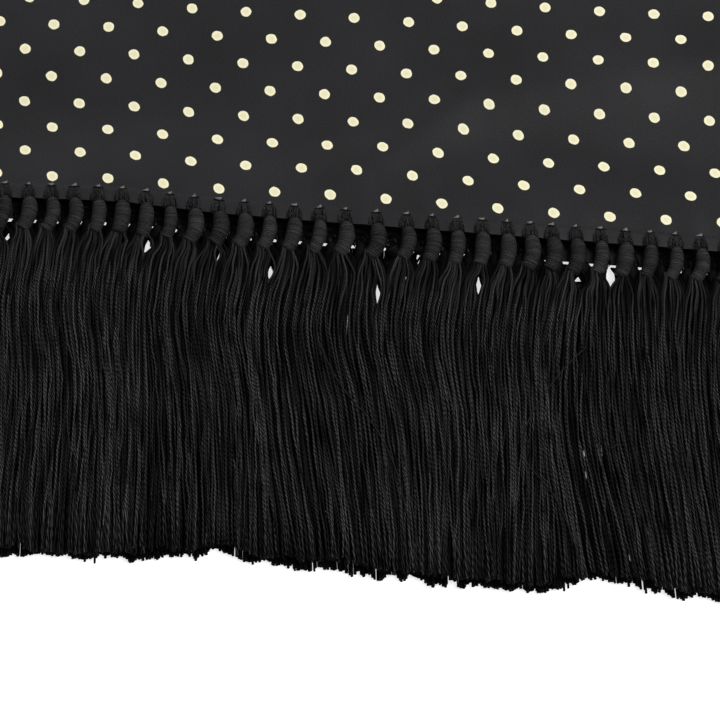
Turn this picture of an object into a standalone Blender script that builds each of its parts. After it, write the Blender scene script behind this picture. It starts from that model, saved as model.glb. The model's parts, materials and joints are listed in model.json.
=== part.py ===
"""Silk neck shawl with a row of wrapped tassels at each end, folded in half and laid flat.

Metres, +Z up. X runs across the cloth, the fold is at +Y and both rows of tassels are at -Y,
one over the other. The origin is under the middle, on the surface that the shawl lies on.
"""
import math
from collections import namedtuple

import bmesh
import bpy

# The cloth: WIDTH by twice FOLDED_LENGTH
WIDTH = 0.300
FOLDED_LENGTH = 0.800
WALL = 0.0012
LAYER_GAP = 0.0004      # between the two layers
SEAM_GAP = 0.0003       # between pieces that meet edge to edge
SIDE_SHIFT = 0.001      # how far each layer lies to its own side of the middle
LOWER_SHIFT = 0.005     # how far the lower hem lies beyond the upper one
SIDE_WAVER = 0.0008
SIDE_WAVER_LENGTH = 0.230

# The hem is pulled askew, and bows back a little about one place
HEM_SLOPE = 0.082
HEM_BOW = 0.0014
HEM_BOW_X = -0.072
HEM_BOW_REACH = 0.022
HEM_DEPTH = 0.0034      # from the thread holes to the hem's edge

# The rise of each layer on to its own tassel heads
UPPER_HEM_Z = 0.0072
UPPER_RISE = 0.035
LOWER_HEM_Z = 0.0025
LOWER_RISE = 0.030

# The fold, a soft roll in the upper layer that comes back under to the lower one
ROLL_RADIUS = 0.0026
ROLL_RISE = 0.055
ROLL_RETURN = 0.006
ROLL_FLOOR_GAP = 0.0001
ROLL_STEPS = 7
FOLD_WAVER = 0.0012
FOLD_WAVER_LENGTH = 0.180

# The tassels: wrapped heads in a row, each with its locks
FRINGE = 0.105
PITCH = 0.0073
ROW_START = -0.0014
HEAD_END = 0.0125
HEAD_LEAN = 0.0013
HEAD_BULGE = 0.0006
LOCK_FILL = 0.80        # the part of its own space that a lock fills
LOCK_SPREAD = 1.25      # the widest space that a lock spreads to, in even spaces
LOCK_RAGGED = 0.0012
UNEVEN = 12.9898        # a turn in radians that no lock repeats, for uneven ends

Ridge = namedtuple("Ridge", "from_x from_s to_x to_s height breadth")
Stretch = namedtuple("Stretch", "start end steps")
Section = namedtuple("Section", "below half_width half_height")

# In a row, first is the place of its first head in pitches, and depths are where its locks bend;
# run gives the height of a lock's middle at each of RUN_DEPTHS, and half_height is half its own
Row = namedtuple("Row", "name count first shifts shift_x shift_y hem_z sides locks depths run "
                        "half_height")

# Soft ridges of the upper layer; s is the distance from the hem along the cloth
RIDGES = (
    Ridge(-0.005, 0.014, 0.035, 0.047, 0.0024, 0.010),
    Ridge(0.035, 0.047, 0.150, 0.072, 0.0022, 0.011),
    Ridge(-0.150, 0.150, 0.060, 0.230, 0.0025, 0.018),
    Ridge(-0.040, 0.330, 0.150, 0.290, 0.0020, 0.016),
    Ridge(-0.150, 0.430, 0.020, 0.520, 0.0028, 0.020),
    Ridge(0.010, 0.600, 0.150, 0.660, 0.0022, 0.016),
    Ridge(-0.150, 0.700, -0.020, 0.680, 0.0016, 0.014),
)
RIDGE_HEM_EASE = 0.030
RIDGE_FOLD_EASE = 0.080

# How finely each layer is divided along its length
COLUMNS = 20
UPPER_STRETCHES = (
    Stretch(HEM_DEPTH + SEAM_GAP, 0.060, 6),
    Stretch(0.060, 0.735, 15),
    Stretch(0.735, FOLDED_LENGTH - ROLL_RADIUS - WALL - FOLD_WAVER, 4),
)
LOWER_STRETCHES = (
    Stretch(HEM_DEPTH + SEAM_GAP, LOWER_RISE, 4),
    Stretch(LOWER_RISE, FOLDED_LENGTH + LOWER_SHIFT - ROLL_RADIUS - WALL - FOLD_WAVER
            - ROLL_RETURN - SEAM_GAP, 4),
)

# A tassel's head from the thread hole down to where its locks part
HEAD = (
    Section(-HEM_DEPTH, 0.0013, 0.0012),
    Section(0.0000, 0.0026, 0.0018),
    Section(0.0030, 0.0025, 0.0023),
    Section(0.0100, 0.0022, 0.0021),
    Section(HEAD_END, 0.0023, 0.0020),
)

# Columns: x across the row, how far the heads there lie from an even spacing
UPPER_SHIFTS = (
    (-0.150, 0.0),
    (-0.105, -0.0017),
    (-0.075, -0.0032),
    (-0.045, -0.0039),
    (-0.005, -0.0032),
    (0.016, 0.0008),
    (0.043, 0.0010),
    (0.062, -0.0007),
    (0.100, -0.0006),
    (0.150, 0.0),
)
LOWER_SHIFTS = (
    (-0.150, 0.0),
    (-0.105, -0.0017),
    (-0.075, -0.0032),
    (-0.045, -0.0039),
    (-0.005, -0.0032),
    (0.016, 0.0008),
    (0.043, 0.0010),
    (0.062, -0.0033),
    (0.076, -0.0032),
    (0.094, -0.0006),
    (0.150, 0.0),
)

# Columns: x across the row, then the sideways drift of the locks at each of DRIFT_DEPTHS
DRIFT_DEPTHS = (HEAD_END, 0.018, 0.034, 0.058, 0.100)
DRIFT = (
    (-0.150, -0.0013, -0.0020, -0.0030, -0.0015, -0.0015),
    (-0.097, -0.0013, -0.0018, -0.0033, -0.0015, -0.0030),
    (-0.077, -0.0013, -0.0024, -0.0033, -0.0004, -0.0004),
    (-0.063, -0.0013, -0.0030, -0.0044, -0.0032, -0.0025),
    (-0.045, -0.0013, -0.0028, -0.0046, -0.0010, 0.0015),
    (-0.032, -0.0013, -0.0020, -0.0042, -0.0005, 0.0012),
    (-0.022, -0.0013, -0.0028, -0.0058, -0.0040, 0.0025),
    (-0.008, -0.0013, -0.0017, -0.0038, 0.0008, 0.0060),
    (0.004, -0.0013, -0.0013, -0.0025, 0.0015, 0.0058),
    (0.015, -0.0013, -0.0024, -0.0040, 0.0002, 0.0022),
    (0.026, -0.0013, -0.0028, -0.0048, -0.0014, -0.0012),
    (0.039, -0.0013, -0.0026, -0.0042, -0.0030, -0.0030),
    (0.054, -0.0013, -0.0024, -0.0042, -0.0036, -0.0045),
    (0.063, -0.0013, -0.0030, -0.0056, -0.0064, -0.0010),
    (0.072, -0.0013, -0.0018, -0.0020, -0.0010, 0.0066),
    (0.084, -0.0013, -0.0014, -0.0012, 0.0006, 0.0060),
    (0.101, -0.0013, -0.0022, -0.0034, -0.0022, 0.0022),
    (0.150, -0.0013, -0.0020, -0.0030, -0.0015, 0.0000),
)

# Columns: x across the row, how much longer or shorter than FRINGE the tassels are there
TRIM = (
    (-0.150, 0.0015),
    (-0.095, 0.0030),
    (-0.055, 0.0010),
    (-0.040, -0.0030),
    (-0.030, 0.0005),
    (0.010, 0.0025),
    (0.033, 0.0040),
    (0.052, 0.0010),
    (0.068, -0.0032),
    (0.088, -0.0004),
    (0.150, 0.0010),
)

# The two rows of tassels, the lower one half a pitch across from the upper
RUN_DEPTHS = (HEAD_END, 0.022, 0.050, FRINGE)
UPPER_ROW = Row(
    name="upper_fringe", count=41, first=-20.0, shifts=UPPER_SHIFTS, shift_x=-SIDE_SHIFT,
    shift_y=0.0, hem_z=UPPER_HEM_Z, sides=8, locks=3, depths=(0.022, 0.040, 0.062, 0.084),
    run=(UPPER_HEM_Z, 0.0066, 0.0051, 0.0044), half_height=0.0011,
)
LOWER_ROW = Row(
    name="lower_fringe", count=40, first=-19.5, shifts=LOWER_SHIFTS, shift_x=SIDE_SHIFT,
    shift_y=LOWER_SHIFT, hem_z=LOWER_HEM_Z, sides=6, locks=2, depths=(0.024, 0.048, 0.076),
    run=(LOWER_HEM_Z, 0.0023, 0.0017, 0.0016), half_height=0.0009,
)

HEM_Y = -(FOLDED_LENGTH - FRINGE - LOWER_SHIFT - HEM_SLOPE * WIDTH / 2) / 2


def ease(share):
    """Go smoothly from 0 to 1 as share does, and stay level outside."""
    share = min(max(share, 0.0), 1.0)
    return share * share * (3 - 2 * share)


def between(rows, place):
    """Blend the columns of a table's two rows on either side of a place."""
    before = [row for row in rows if row[0] <= place] or rows[:1]
    after = [row for row in rows if row[0] > place] or rows[-1:]
    low, high = before[-1], after[0]
    share = ease((place - low[0]) / (high[0] - low[0])) if high[0] > low[0] else 0.0
    return [a + (b - a) * share for a, b in zip(low[1:], high[1:])]


def smooth_through(places, values, at):
    """Read a smooth curve through values at increasing places."""
    at = min(max(at, places[0]), places[-1])
    last = len(places) - 1
    k = max(i for i in range(last) if places[i] <= at or i == 0)

    def slope(i):
        low, high = max(i - 1, 0), min(i + 1, last)
        return (values[high] - values[low]) / (places[high] - places[low])

    span = places[k + 1] - places[k]
    t = (at - places[k]) / span
    return (values[k] * (1 + 2 * t) * (1 - t) ** 2
            + values[k + 1] * (3 - 2 * t) * t ** 2
            + slope(k) * span * t * (1 - t) ** 2
            - slope(k + 1) * span * t ** 2 * (1 - t))


def hem_line(x):
    """How far the hem at x lies towards +Y from the hem's middle."""
    bow = HEM_BOW * math.exp(-((x - HEM_BOW_X) / HEM_BOW_REACH) ** 2)
    return bow - HEM_SLOPE * x


def ridge_height(x, s):
    """How far the upper layer stands up over its ridges."""
    height = 0.0
    for ridge in RIDGES:
        along_x, along_s = ridge.to_x - ridge.from_x, ridge.to_s - ridge.from_s
        share = ((x - ridge.from_x) * along_x + (s - ridge.from_s) * along_s)
        share = min(max(share / (along_x ** 2 + along_s ** 2), 0.0), 1.0)
        away = math.hypot(x - ridge.from_x - share * along_x, s - ridge.from_s - share * along_s)
        height = max(height, ridge.height * math.exp(-(away / ridge.breadth) ** 2))
    return height * ease(s / RIDGE_HEM_EASE) * ease((FOLDED_LENGTH - s) / RIDGE_FOLD_EASE)


def fold_waver(x):
    """How far the fold at x lies towards +Y from its even line."""
    return FOLD_WAVER * math.sin(2 * math.pi * x / FOLD_WAVER_LENGTH)


def side_waver(x, s, phase):
    """Move a side edge in and out a little away from the hem."""
    swing = math.sin(2 * math.pi * s / SIDE_WAVER_LENGTH + phase)
    return SIDE_WAVER * swing * ease(s / 0.060) * (2 * x / WIDTH) ** 3


def place_along(x, s):
    """Y of a point of the cloth: square at the fold, askew like the hem at the hem."""
    part = s / FOLDED_LENGTH
    return HEM_Y + s + hem_line(x) * (1 - part) ** 2 + fold_waver(x) * part ** 4


def stations(stretches):
    """Distances from the hem at which a layer has a row of points."""
    places = [stretches[0].start]
    for stretch in stretches:
        step = (stretch.end - stretch.start) / stretch.steps
        places += [stretch.start + step * (i + 1) for i in range(stretch.steps)]
    return places


def lower_point(x, s):
    """A point of the lower layer's underside, s from its own hem."""
    rise = (LOWER_HEM_Z - WALL / 2) * ease(1 - (s - HEM_DEPTH) / (LOWER_RISE - HEM_DEPTH))
    return (x + side_waver(x, s, 1.7) + SIDE_SHIFT, place_along(x, s - LOWER_SHIFT), rise)


def upper_point(x, s):
    """A point of the upper layer's underside, s from its hem, as far as the roll."""
    level = WALL + LAYER_GAP
    hem = (UPPER_HEM_Z - WALL / 2 - level) * ease(1 - (s - HEM_DEPTH) / (UPPER_RISE - HEM_DEPTH))
    roll_top = ROLL_FLOOR_GAP + WALL + 2 * ROLL_RADIUS
    roll_start = UPPER_STRETCHES[-1].end
    roll = (roll_top - level) * ease(1 - (roll_start - s) / ROLL_RISE)
    z = level + hem + roll + ridge_height(x, s)
    return (x + side_waver(x, s, 0.0) - SIDE_SHIFT, place_along(x, s), z)


def roll_points(x):
    """The underside from the top of the roll, round the fold and back to the lower layer."""
    start_x, start_y, top = upper_point(x, UPPER_STRETCHES[-1].end)
    middle = top - ROLL_RADIUS
    points = []
    for step in range(1, ROLL_STEPS + 1):
        turn = math.pi * step / ROLL_STEPS
        points.append((start_x, start_y + ROLL_RADIUS * math.sin(turn),
                       middle + ROLL_RADIUS * math.cos(turn)))
    points.append((start_x, start_y - ROLL_RETURN, middle - ROLL_RADIUS))
    return points


def fabric(name, colour, roughness):
    """A plain woven or spun silk of one colour."""
    material = bpy.data.materials.new(name)
    material.use_nodes = True
    shader = material.node_tree.nodes["Principled BSDF"]
    shader.inputs["Base Color"].default_value = (*colour, 1.0)
    shader.inputs["Roughness"].default_value = roughness
    shader.inputs["Metallic"].default_value = 0.0
    material.diffuse_color = (*colour, 1.0)
    return material


def add_object(name, bm, material, collection):
    """Put a finished mesh in the shawl's collection."""
    mesh = bpy.data.meshes.new(name)
    bm.to_mesh(mesh)
    bm.free()
    mesh.materials.append(material)
    mesh.shade_smooth()
    mesh.set_sharp_from_angle(angle=math.radians(50))
    piece = bpy.data.objects.new(name, mesh)
    collection.objects.link(piece)
    return piece


def cloth_layer(name, columns_of_points, material, collection):
    """A wall of cloth from the points of its underside, one list for each column."""
    rows = len(columns_of_points[0])
    bm = bmesh.new()
    bmesh.ops.create_grid(bm, x_segments=COLUMNS, y_segments=rows - 1, size=0.5)
    for vert in bm.verts:
        column = round((vert.co.x + 0.5) * COLUMNS)
        row = round((vert.co.y + 0.5) * (rows - 1))
        vert.co = columns_of_points[column][row]
    piece = add_object(name, bm, material, collection)
    wall = piece.modifiers.new("Wall", 'SOLIDIFY')
    wall.thickness = WALL
    wall.offset = 1.0
    wall.use_even_offset = True
    return piece


def column_places():
    """X of each column of a layer, before it is shifted."""
    return [WIDTH * (i / COLUMNS - 0.5) for i in range(COLUMNS + 1)]


def upper_layer(material, collection):
    """The layer that shows, with the roll at its fold."""
    columns = [[upper_point(x, s) for s in stations(UPPER_STRETCHES)] + roll_points(x)
               for x in column_places()]
    return cloth_layer("upper_layer", columns, material, collection)


def lower_layer(material, collection):
    """The layer beneath, flat on the surface up to its hem."""
    columns = [[lower_point(x, s) for s in stations(LOWER_STRETCHES)] for x in column_places()]
    return cloth_layer("lower_layer", columns, material, collection)


def drift(x, below):
    """How far a lock that starts at x has moved sideways at a depth below the hem."""
    return smooth_through(DRIFT_DEPTHS, between(DRIFT, x), below)


def head_middle(below):
    """How far a head's middle lies sideways from its thread hole."""
    share = max(below, 0.0) / HEAD_END
    return HEAD_BULGE * math.sin(math.pi * share) - HEAD_LEAN * share ** 1.5


def row_y(row, x, below):
    """Y of a point of a row of tassels at a depth below its hem's edge."""
    return HEM_Y + hem_line(x - row.shift_x) - row.shift_y - below


def stretch_cap(bm, cap, corner):
    """Extrude an end cap in place; gives the new one, and its corners' values from the old."""
    alone = all(len(edge.link_faces) == 1 for edge in cap.edges)
    places = {vert.co.copy().freeze(): corner[vert] for vert in cap.verts}
    made = bmesh.ops.extrude_face_region(bm, geom=[cap])["geom"]
    if not alone:
        bmesh.ops.delete(bm, geom=[cap], context='FACES_ONLY')
    new_cap = next(item for item in made if isinstance(item, bmesh.types.BMFace))
    return new_cap, {vert: places[vert.co.copy().freeze()] for vert in new_cap.verts}


def side_face(cap, direction):
    """The face beside a cap that looks along +X or -X, by the sign of direction."""
    edge = max(cap.edges, key=lambda e: direction * (e.verts[0].co.x + e.verts[1].co.x))
    return next(face for face in edge.link_faces if face is not cap)


def tassel_head(bm, row, x):
    """A loop over the hem and its wrapped head; gives its last cap and its two hem faces."""
    start = bmesh.ops.create_circle(bm, cap_ends=True, segments=row.sides, radius=1.0)
    cap = start["verts"][0].link_faces[0]
    corner = {}
    for k, vert in enumerate(start["verts"]):
        turn = 2 * math.pi * (k + 0.5) / row.sides
        corner[vert] = (math.cos(turn), math.sin(turn))
    hem_faces = None
    for section in HEAD:
        if section.below > HEAD[0].below:
            cap, corner = stretch_cap(bm, cap, corner)
        middle = x + head_middle(section.below)
        for vert, (across, up) in corner.items():
            place = middle + across * section.half_width
            vert.co = (place, row_y(row, place, section.below), row.hem_z + up * section.half_height)
        if section is HEAD[1]:
            hem_faces = [side_face(cap, -1), side_face(cap, 1)]
    return cap, hem_faces


def lock(bm, row, cap, x, space, wobble):
    """One lock from its root face, down to its cut end."""
    middle = cap.calc_center_median()
    corner = {vert: (math.copysign(1, vert.co.x - middle.x), math.copysign(1, vert.co.z - middle.z))
              for vert in cap.verts}
    end = FRINGE + between(TRIM, x)[0] + LOCK_RAGGED * wobble
    for below in row.depths + (end,):
        cap, corner = stretch_cap(bm, cap, corner)
        left = x - space / 2 + drift(x - space / 2, below)
        right = x + space / 2 + drift(x + space / 2, below)
        half_width = LOCK_FILL * min(right - left, LOCK_SPREAD * space) / 2
        height = smooth_through(RUN_DEPTHS, row.run, below)
        for vert, (across, up) in corner.items():
            place = (left + right) / 2 + across * half_width
            vert.co = (place, row_y(row, place, below), height + up * row.half_height)


def head_places(row):
    """X of each head, from an even spacing and its shifts."""
    evens = [ROW_START + PITCH * (row.first + k) for k in range(row.count)]
    return [even + between(row.shifts, even)[0] for even in evens]


def join_heads(bm, row, hem_faces):
    """Run the hem strip from head to head and out to both sides of the cloth."""
    for (_, right_face), (left_face, _) in zip(hem_faces, hem_faces[1:]):
        edges = list(right_face.edges) + list(left_face.edges)
        bmesh.ops.delete(bm, geom=[right_face, left_face], context='FACES_ONLY')
        bmesh.ops.bridge_loops(bm, edges=edges)
    for face, side in ((hem_faces[0][0], -1), (hem_faces[-1][1], 1)):
        below = {vert: row_y(row, vert.co.x, 0.0) - vert.co.y for vert in face.verts}
        _, below = stretch_cap(bm, face, below)
        x = side * WIDTH / 2 + row.shift_x
        for vert, depth in below.items():
            vert.co = (x, row_y(row, x, depth), vert.co.z)


def part_locks(bm, row, cap, left, right, index):
    """Split a head's last cap into root faces and draw a lock from each, from left to right."""
    pairs = sorted(cap.verts, key=lambda vert: vert.co.x)
    for k in range(2, len(pairs) - 2, 2):
        bmesh.ops.connect_verts(bm, verts=pairs[k:k + 2])
    roots = sorted({face for vert in pairs for face in vert.link_faces
                    if all(v in pairs for v in face.verts)},
                   key=lambda face: face.calc_center_median().x)
    space = (right - left) / row.locks
    for k, root in enumerate(roots):
        wobble = math.sin(UNEVEN * (index * row.locks + k) + row.sides)
        lock(bm, row, root, left + (k + 0.5) * space, space, wobble)


def fringe(row, material, collection):
    """A hem strip with its row of tassels, in one closed body."""
    bm = bmesh.new()
    places = head_places(row)
    heads = [tassel_head(bm, row, x) for x in places]
    join_heads(bm, row, [faces for _, faces in heads])
    borders = [(a + b) / 2 for a, b in zip(places, places[1:])]
    borders = [places[0] - PITCH / 2] + borders + [places[-1] + PITCH / 2]
    for index, (cap, _) in enumerate(heads):
        part_locks(bm, row, cap, borders[index], borders[index + 1], index)
    bmesh.ops.recalc_face_normals(bm, faces=bm.faces)
    return add_object(row.name, bm, material, collection)


def main():
    """Clear the scene and build the shawl's four pieces."""
    for old in list(bpy.data.objects):
        bpy.data.objects.remove(old, do_unlink=True)
    collection = bpy.data.collections.new("silk_shawl")
    bpy.context.scene.collection.children.link(collection)
    silk = fabric("black_silk", (0.022, 0.022, 0.024), 0.42)
    yarn = fabric("black_yarn", (0.009, 0.009, 0.009), 0.60)
    upper_layer(silk, collection)
    lower_layer(silk, collection)
    fringe(UPPER_ROW, yarn, collection)
    fringe(LOWER_ROW, yarn, collection)


main()
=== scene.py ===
"""The looks of the silk neck shawl: dotted silk folded in half, with two rows of tassels.

Metres, +Z up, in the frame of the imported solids: X runs across the cloth, the fold is at +Y
and both rows of tassels are at -Y. A depth is a distance from the hem's edge down a tassel,
and s is a distance from the hem's edge up the cloth.
"""
import json
import math
import random
from collections import namedtuple

import bmesh
import bpy
import numpy as np
from bpy.props import FloatProperty, FloatVectorProperty, PointerProperty
from mathutils import Matrix, Vector, noise

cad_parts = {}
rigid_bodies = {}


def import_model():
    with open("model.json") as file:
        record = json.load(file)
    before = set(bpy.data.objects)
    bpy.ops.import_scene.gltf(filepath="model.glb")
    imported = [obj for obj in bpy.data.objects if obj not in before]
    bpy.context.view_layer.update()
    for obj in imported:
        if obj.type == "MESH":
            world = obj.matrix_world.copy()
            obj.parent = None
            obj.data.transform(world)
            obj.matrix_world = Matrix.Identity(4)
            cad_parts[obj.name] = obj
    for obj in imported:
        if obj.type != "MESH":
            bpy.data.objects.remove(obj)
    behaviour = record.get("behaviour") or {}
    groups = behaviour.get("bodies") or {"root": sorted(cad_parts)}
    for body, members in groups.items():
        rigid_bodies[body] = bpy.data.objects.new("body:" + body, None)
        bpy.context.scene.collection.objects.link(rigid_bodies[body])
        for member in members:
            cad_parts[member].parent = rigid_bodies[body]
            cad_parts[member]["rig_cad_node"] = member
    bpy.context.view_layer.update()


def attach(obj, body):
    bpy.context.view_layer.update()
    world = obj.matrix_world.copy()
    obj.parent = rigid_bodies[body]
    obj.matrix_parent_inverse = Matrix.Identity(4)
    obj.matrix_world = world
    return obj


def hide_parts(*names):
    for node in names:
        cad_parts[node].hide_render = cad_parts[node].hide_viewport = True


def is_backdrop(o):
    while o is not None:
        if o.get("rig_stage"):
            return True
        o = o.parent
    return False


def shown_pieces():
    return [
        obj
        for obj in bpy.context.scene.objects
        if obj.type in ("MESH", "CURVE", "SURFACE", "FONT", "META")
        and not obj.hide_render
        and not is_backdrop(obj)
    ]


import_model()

bl_info = {
    "name": "Silk Shawl",
    "version": (1, 0, 0),
    "blender": (4, 5, 0),
    "location": "View3D > Sidebar > Shawl",
    "description": "Lays a folded silk shawl with wrapped tassels and sets its stage",
    "category": "Object",
}

BODY = "root"

# The cloth, as the solids have it
WIDTH = 0.300
FOLDED_LENGTH = 0.800
WALL = 0.0012
LAYER_GAP = 0.0004
SIDE_SHIFT = 0.001
LOWER_SHIFT = 0.005
SIDE_WAVER = 0.0008
SIDE_WAVER_LENGTH = 0.230
HEM_SLOPE = 0.082
HEM_BOW = 0.0014
HEM_BOW_X = -0.072
HEM_BOW_REACH = 0.022
HEM_DEPTH = 0.0034
UPPER_HEM_Z = 0.0072
UPPER_RISE = 0.035
LOWER_HEM_Z = 0.0025
LOWER_RISE = 0.030
ROLL_RADIUS = 0.0026
ROLL_RISE = 0.055
ROLL_FLOOR_GAP = 0.0001
FOLD_WAVER = 0.0012
FOLD_WAVER_LENGTH = 0.180

# The tassels, as the solids have them
FRINGE = 0.105
PITCH = 0.0073
ROW_START = -0.0014
HEAD_END = 0.0125
HEAD_LEAN = 0.0013
HEAD_BULGE = 0.0006
RUN_DEPTHS = (HEAD_END, 0.022, 0.050, FRINGE)

HEM_Y = -(FOLDED_LENGTH - FRINGE - LOWER_SHIFT - HEM_SLOPE * WIDTH / 2) / 2
ROLL_START = FOLDED_LENGTH - ROLL_RADIUS - WALL - FOLD_WAVER
ROLL_MIDDLE = ROLL_RADIUS + WALL / 2
ROLL_LENGTH = math.pi * ROLL_MIDDLE
WHOLE_CUT = 2 * ROLL_START + ROLL_LENGTH

Ridge = namedtuple("Ridge", "from_x from_s to_x to_s height breadth")
Stretch = namedtuple("Stretch", "start end steps")
Row = namedtuple("Row", "count first shifts shift_x shift_y hem_z run")
Parting = namedtuple("Parting", "x depth half_width half_length")
Spot = namedtuple("Spot", "x y z radius shade")
Look = namedtuple("Look", "turns plies contrast specks_along specks_around speckle lightest")
Level = namedtuple("Level", "height count lightness fullness wildness spread length depths sides")

# Soft ridges of the upper layer
RIDGES = (
    Ridge(-0.005, 0.014, 0.035, 0.047, 0.0024, 0.010),
    Ridge(0.035, 0.047, 0.150, 0.072, 0.0022, 0.011),
    Ridge(-0.150, 0.150, 0.060, 0.230, 0.0025, 0.018),
    Ridge(-0.040, 0.330, 0.150, 0.290, 0.0020, 0.016),
    Ridge(-0.150, 0.430, 0.020, 0.520, 0.0028, 0.020),
    Ridge(0.010, 0.600, 0.150, 0.660, 0.0022, 0.016),
    Ridge(-0.150, 0.700, -0.020, 0.680, 0.0016, 0.014),
)
RIDGE_HEM_EASE = 0.030
RIDGE_FOLD_EASE = 0.080

# Columns: x across the row, how far the heads there lie from an even spacing
UPPER_SHIFTS = (
    (-0.150, 0.0),
    (-0.105, -0.0017),
    (-0.075, -0.0032),
    (-0.045, -0.0039),
    (-0.005, -0.0032),
    (0.016, 0.0008),
    (0.043, 0.0010),
    (0.062, -0.0007),
    (0.100, -0.0006),
    (0.150, 0.0),
)
LOWER_SHIFTS = (
    (-0.150, 0.0),
    (-0.105, -0.0017),
    (-0.075, -0.0032),
    (-0.045, -0.0039),
    (-0.005, -0.0032),
    (0.016, 0.0008),
    (0.043, 0.0010),
    (0.062, -0.0033),
    (0.076, -0.0032),
    (0.094, -0.0006),
    (0.150, 0.0),
)
UPPER_ROW = Row(41, -20.0, UPPER_SHIFTS, -SIDE_SHIFT, 0.0, UPPER_HEM_Z,
                (UPPER_HEM_Z, 0.0066, 0.0051, 0.0044))
LOWER_ROW = Row(40, -19.5, LOWER_SHIFTS, SIDE_SHIFT, LOWER_SHIFT, LOWER_HEM_Z,
                (LOWER_HEM_Z, 0.0023, 0.0017, 0.0016))

# Columns: x across the row, then the sideways drift of the yarns at each of DRIFT_DEPTHS
DRIFT_DEPTHS = (HEAD_END, 0.018, 0.034, 0.058, 0.100)
DRIFT = (
    (-0.150, -0.0013, -0.0020, -0.0030, -0.0015, -0.0015),
    (-0.097, -0.0013, -0.0018, -0.0033, -0.0015, -0.0030),
    (-0.077, -0.0013, -0.0024, -0.0033, -0.0004, -0.0004),
    (-0.063, -0.0013, -0.0030, -0.0044, -0.0032, -0.0025),
    (-0.045, -0.0013, -0.0028, -0.0046, -0.0010, 0.0015),
    (-0.032, -0.0013, -0.0020, -0.0042, -0.0005, 0.0012),
    (-0.022, -0.0013, -0.0028, -0.0058, -0.0040, 0.0025),
    (-0.008, -0.0013, -0.0017, -0.0038, 0.0008, 0.0060),
    (0.004, -0.0013, -0.0013, -0.0025, 0.0015, 0.0058),
    (0.015, -0.0013, -0.0024, -0.0040, 0.0002, 0.0022),
    (0.026, -0.0013, -0.0028, -0.0048, -0.0014, -0.0012),
    (0.039, -0.0013, -0.0026, -0.0042, -0.0030, -0.0030),
    (0.054, -0.0013, -0.0024, -0.0042, -0.0036, -0.0045),
    (0.063, -0.0013, -0.0030, -0.0056, -0.0064, -0.0010),
    (0.072, -0.0013, -0.0018, -0.0020, -0.0010, 0.0066),
    (0.084, -0.0013, -0.0014, -0.0012, 0.0006, 0.0060),
    (0.101, -0.0013, -0.0022, -0.0034, -0.0022, 0.0022),
    (0.150, -0.0013, -0.0020, -0.0030, -0.0015, 0.0000),
)

# Columns: x across the row, how much longer or shorter than FRINGE the tassels are there
TRIM = (
    (-0.150, 0.0010),
    (-0.095, 0.0028),
    (-0.078, 0.0036),
    (-0.066, 0.0026),
    (-0.052, 0.0000),
    (-0.040, -0.0034),
    (-0.030, -0.0010),
    (-0.014, -0.0006),
    (0.003, 0.0008),
    (0.010, 0.0004),
    (0.026, 0.0008),
    (0.034, 0.0012),
    (0.043, 0.0010),
    (0.052, 0.0010),
    (0.068, -0.0034),
    (0.088, -0.0006),
    (0.104, 0.0000),
    (0.150, 0.0008),
)

# Where the yarns of both rows part and leave a gap
PARTINGS = (
    Parting(-0.1043, 0.0119, 0.00140, 0.0017),
    Parting(-0.0697, 0.0124, 0.00080, 0.0011),
    Parting(-0.0626, 0.0128, 0.00155, 0.0021),
    Parting(-0.0419, 0.0134, 0.00080, 0.0013),
    Parting(-0.0262, 0.0163, 0.00115, 0.0022),
    Parting(0.0053, 0.0207, 0.00095, 0.0028),
    Parting(0.0097, 0.0092, 0.00080, 0.0012),
    Parting(0.0177, 0.0076, 0.00095, 0.0018),
    Parting(0.0350, 0.0157, 0.00100, 0.0025),
    Parting(0.0644, 0.0124, 0.00185, 0.0025),
    Parting(0.0738, 0.0094, 0.00185, 0.0030),
)
PARTING_REACH = 0.0022

# The cloth's rows of points, along its cut from the upper hem's edge
UPPER_ROWS = (
    Stretch(0.0000, 0.0060, 10),
    Stretch(0.0060, 0.0800, 46),
    Stretch(0.0800, 0.7350, 80),
    Stretch(0.7350, ROLL_START, 14),
)
ROLL_STEPS = 12
LOWER_ROWS = (
    Stretch(ROLL_START, 0.0300, 46),
    Stretch(0.0300, 0.0000, 14),
)
COLUMNS = 180
TURN_STEPS = 4
TURN_RADIUS = 0.00042
TURNED_UNDER = 0.0036
CREASE_BREADTH = 0.0009

# How the dotted silk lies askew: its rows tilt and bow, and its columns sway
DOT_START_X = -0.00044
DOT_START_S = 0.01707
DOT_TILT = 0.008
DOT_BOW = 0.00049
DOT_BOW_LENGTH = 0.140
DOT_SWAY = 0.00106
DOT_SWAY_LENGTH = 0.100
DOT_SKEW = 0.035
PLAIN_HEM = 0.0042

# Small creases of the silk near the hem, and its faint unevenness all over
GATHER_HEIGHT = 0.00028
GATHER_REACH = 0.016
UNEVEN_HEIGHT = 0.00035
UNEVEN_SCALE = 34.0

# Thread holes along the hems
SLIT_WIDTH = 0.0032
SLIT_BREADTH = 0.00060
SLIT_HEIGHT = 0.00034
SLIT_ABOVE = 0.00045
LIP_WIDTH = 0.0017
LIP_REACH = 0.0013
LIP_HEIGHT = 0.00035

# The wraps end a little above the solid's head, and the yarns spread at once
WRAPS_END = 0.0100
ROOT_REACH = 0.0017

# Each wrapped head leans and bends in its own way, about these
LEAN = HEAD_LEAN * 1.1
LEAN_SWING = 0.0006
BEND = HEAD_BULGE * 1.3
BEND_SWING = 0.0004
HEAD_CROWN = 0.0002
WRAP_RIDGE = 0.00018
WRAP_SHAKE = 0.00005

# The lower row's heads, which lie in the dark, are fuller
LOWER_FULLNESS = 1.10

# The loops over the hem: how far they arch, how wide they lie, and a strand's radius as a
# share of the yarn's thickness
LOOP_ARCH = 0.0009
LOOP_REACH = 0.0021
LOOP_STRAND = 0.32

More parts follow.
